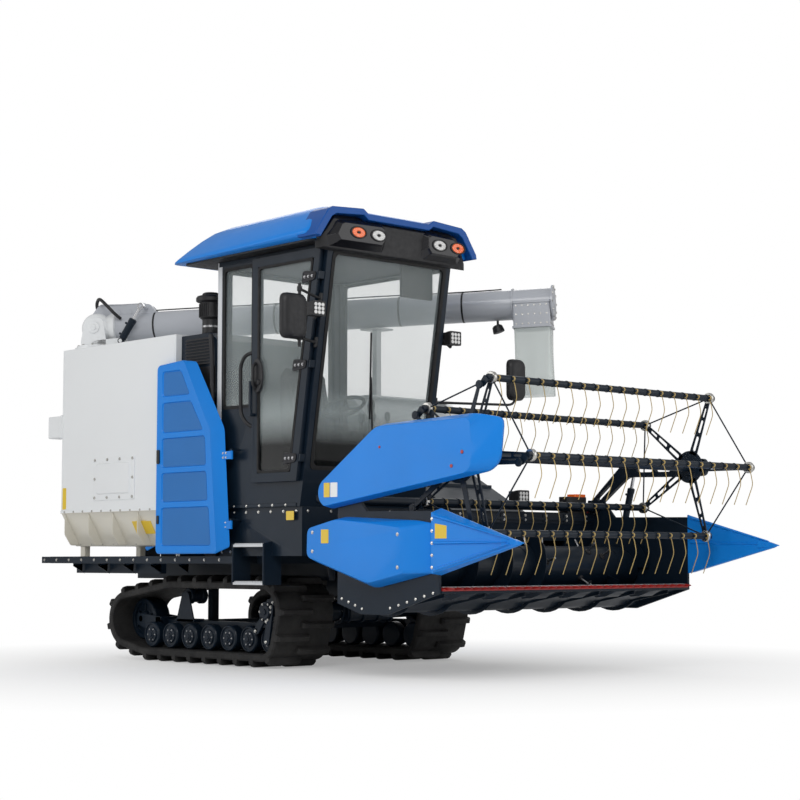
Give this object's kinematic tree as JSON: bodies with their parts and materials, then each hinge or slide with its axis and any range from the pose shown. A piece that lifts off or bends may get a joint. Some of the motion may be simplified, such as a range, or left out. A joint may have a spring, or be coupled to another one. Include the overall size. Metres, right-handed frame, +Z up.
{
  "type": "tracked combine harvester",
  "caption": "Tracked grain harvester with cutting header, reel, driver cab, grain tank and swinging unloading auger; header, reel, auger, doors and unloader move.",
  "frame": {"origin": "on the ground under the middle of the machine's box, tracks on the ground", "axes": "+X forward to the cutting header, +Y to the driver's left, +Z up"},
  "size_m": [5.36, 2.785, 3.1412],
  "materials": {
    "blue_paint": "glossy bright blue paint",
    "white_paint": "gloss white paint",
    "dark_paint": "satin near-black navy paint",
    "grey_paint": "gloss light grey paint",
    "engine_casting": "painted casting",
    "track_rubber": "matt black moulded rubber",
    "black_plastic": "grained black plastic",
    "window_glass": "clear laminated glass",
    "clear_sheet": "clear flexible plastic sheet",
    "bare_steel": "worn bare steel",
    "rod_chrome": "polished hard chrome",
    "seat_vinyl": "black seat vinyl"
  },
  "bodies": {
    "chassis": {"main_frame": "dark_paint", "track_right": "track_rubber", "track_left": "track_rubber", "track_frame_right": "dark_paint", "track_frame_left": "dark_paint", "drive_axle": "dark_paint", "grain_tank": "white_paint", "engine_bay": "dark_paint", "engine_block": "engine_casting", "air_precleaner": "black_plastic", "cab_platform": "dark_paint", "cab_frame": "dark_paint", "cab_roof": "blue_paint", "lamp_fascia": "black_plastic", "windshield": "window_glass", "side_window_right": "window_glass", "side_window_left": "window_glass", "rear_window": "window_glass", "operator_seat": "seat_vinyl", "control_console": "black_plastic", "mirror_right": "black_plastic", "mirror_left": "black_plastic", "thresher_body": "white_paint", "straw_hood": "blue_paint"},
    "cab_door": {"cab_door": "dark_paint", "door_glass": "window_glass"},
    "engine_cover": {"engine_side_cover": "blue_paint"},
    "thresher_door": {"thresher_side_door": "blue_paint"},
    "unloader_turret": {"unloader_elbow": "white_paint"},
    "unloader_boom": {"unloader_tube": "grey_paint", "discharge_spout": "grey_paint", "discharge_sleeve": "clear_sheet"},
    "unloader_barrel": {"unloader_ram_barrel": "dark_paint"},
    "unloader_rod": {"unloader_ram_rod": "rod_chrome"},
    "header": {"feeder_house": "dark_paint", "header_frame": "dark_paint", "cutter_bar": "bare_steel", "divider_right": "blue_paint", "divider_left": "blue_paint", "header_side_cover": "blue_paint"},
    "auger": {"header_auger": "dark_paint"},
    "header_barrel": {"header_ram_barrel": "dark_paint"},
    "header_rod": {"header_ram_rod": "rod_chrome"},
    "reel_frame": {"reel_arms": "dark_paint", "reel_drive_cover": "blue_paint"},
    "reel_barrel": {"reel_ram_barrel": "dark_paint"},
    "reel_rod": {"reel_ram_rod": "rod_chrome"},
    "reel": {"reel_rotor": "dark_paint"},
    "reel_crank": {"reel_eccentric": "dark_paint"},
    "bat_1": {"reel_bat_1": "dark_paint"},
    "bat_2": {"reel_bat_2": "dark_paint"},
    "bat_3": {"reel_bat_3": "dark_paint"},
    "bat_4": {"reel_bat_4": "dark_paint"},
    "bat_5": {"reel_bat_5": "dark_paint"}
  },
  "joints": [
    {"name": "cab_door_hinge", "type": "hinge", "parent": "chassis", "child": "cab_door", "pos_m": [0.57666, -1.0255, 1.60121], "axis": [0.1582, 0, 0.9874], "range_deg": [0, 65]},
    {"name": "engine_cover_hinge", "type": "hinge", "parent": "chassis", "child": "engine_cover", "pos_m": [-0.132, -1.0525, 1.00121], "axis": [0, 0, 1], "range_deg": [0, 90]},
    {"name": "thresher_door_hinge", "type": "hinge", "parent": "chassis", "child": "thresher_door", "pos_m": [-1.18, 1.2228, 1.86721], "axis": [1, 0, 0], "range_deg": [0, 80]},
    {"name": "unloader_swivel", "type": "hinge", "parent": "chassis", "child": "unloader_turret", "pos_m": [-2.08, -0.8375, 2.53121], "axis": [0, 0, 1], "range_deg": [0, 180]},
    {"name": "unloader_lift", "type": "hinge", "parent": "unloader_turret", "child": "unloader_boom", "pos_m": [-2.08, -0.8375, 2.53121], "axis": [0.585, -0.8111, 0], "range_deg": [0, 25]},
    {"name": "unloader_barrel_tilt", "type": "hinge", "parent": "unloader_turret", "child": "unloader_barrel", "pos_m": [-1.77713, -0.84716, 2.41621], "axis": [0.585, -0.8111, 0], "range_deg": [0, 23.7]},
    {"name": "unloader_rod_slide", "type": "slide", "parent": "unloader_barrel", "child": "unloader_rod", "axis": [0.4122, 0.2973, 0.8612], "range_m": [0, 0.1174]},
    {"name": "header_lift", "type": "hinge", "parent": "chassis", "child": "header", "pos_m": [0.17, 0.1125, 1.25121], "axis": [0, -1, 0], "range_deg": [-12, 10]},
    {"name": "header_barrel_tilt", "type": "hinge", "parent": "chassis", "child": "header_barrel", "pos_m": [0.05, 0.3975, 0.56121], "axis": [0, -1, 0], "range_deg": [-8, 6.7]},
    {"name": "header_rod_slide", "type": "slide", "parent": "header_barrel", "child": "header_rod", "axis": [0.9903, 0, 0.1386], "range_m": [-0.1423, 0.1189]},
    {"name": "auger_spin", "type": "hinge", "parent": "header", "child": "auger", "pos_m": [1.37, 0.1125, 0.69121], "axis": [0, 1, 0], "continuous": true},
    {"name": "reel_lift", "type": "hinge", "parent": "header", "child": "reel_frame", "pos_m": [1.12, 0.1125, 1.12121], "axis": [0, -1, 0], "range_deg": [0, 25]},
    {"name": "reel_barrel_tilt", "type": "hinge", "parent": "header", "child": "reel_barrel", "pos_m": [1.3, 1.3475, 0.80121], "axis": [0, -1, 0], "range_deg": [0, 14.4]},
    {"name": "reel_rod_slide", "type": "slide", "parent": "reel_barrel", "child": "reel_rod", "axis": [0.2597, 0, 0.9657], "range_m": [0, 0.1015]},
    {"name": "reel_spin", "type": "hinge", "parent": "reel_frame", "child": "reel", "pos_m": [2.08, 0.1125, 1.37821], "axis": [0, 1, 0], "continuous": true},
    {"name": "reel_crank_spin", "type": "hinge", "parent": "reel_frame", "child": "reel_crank", "pos_m": [2.03757, 0.1125, 1.33578], "axis": [0, 1, 0], "continuous": true},
    {"name": "bat_1_turn", "type": "hinge", "parent": "reel", "child": "bat_1", "pos_m": [2.2516, 0.1125, 1.83718], "axis": [0, 1, 0], "continuous": true},
    {"name": "bat_2_turn", "type": "hinge", "parent": "reel", "child": "bat_2", "pos_m": [1.69652, 0.1125, 1.68324], "axis": [0, 1, 0], "continuous": true},
    {"name": "bat_3_turn", "type": "hinge", "parent": "reel", "child": "bat_3", "pos_m": [1.6714, 0.1125, 1.10776], "axis": [0, 1, 0], "continuous": true},
    {"name": "bat_4_turn", "type": "hinge", "parent": "reel", "child": "bat_4", "pos_m": [2.21095, 0.1125, 0.90603], "axis": [0, 1, 0], "continuous": true},
    {"name": "bat_5_turn", "type": "hinge", "parent": "reel", "child": "bat_5", "pos_m": [2.56953, 0.1125, 1.35683], "axis": [0, 1, 0], "continuous": true}
  ],
  "couplings": [
    {"joint": "unloader_barrel_tilt", "follows": "unloader_lift", "ratio": 0.9374},
    {"joint": "unloader_rod_slide", "follows": "unloader_lift", "m_per_rad": 0.2645},
    {"joint": "header_barrel_tilt", "follows": "header_lift", "ratio": 0.6437},
    {"joint": "header_rod_slide", "follows": "header_lift", "m_per_rad": 0.6697},
    {"joint": "reel_barrel_tilt", "follows": "reel_lift", "ratio": 0.5665},
    {"joint": "reel_rod_slide", "follows": "reel_lift", "m_per_rad": 0.228},
    {"joint": "reel_crank_spin", "follows": "reel_spin", "ratio": 1},
    {"joint": "bat_1_turn", "follows": "reel_spin", "ratio": -1},
    {"joint": "bat_2_turn", "follows": "reel_spin", "ratio": -1},
    {"joint": "bat_3_turn", "follows": "reel_spin", "ratio": -1},
    {"joint": "bat_4_turn", "follows": "reel_spin", "ratio": -1},
    {"joint": "bat_5_turn", "follows": "reel_spin", "ratio": -1}
  ]
}
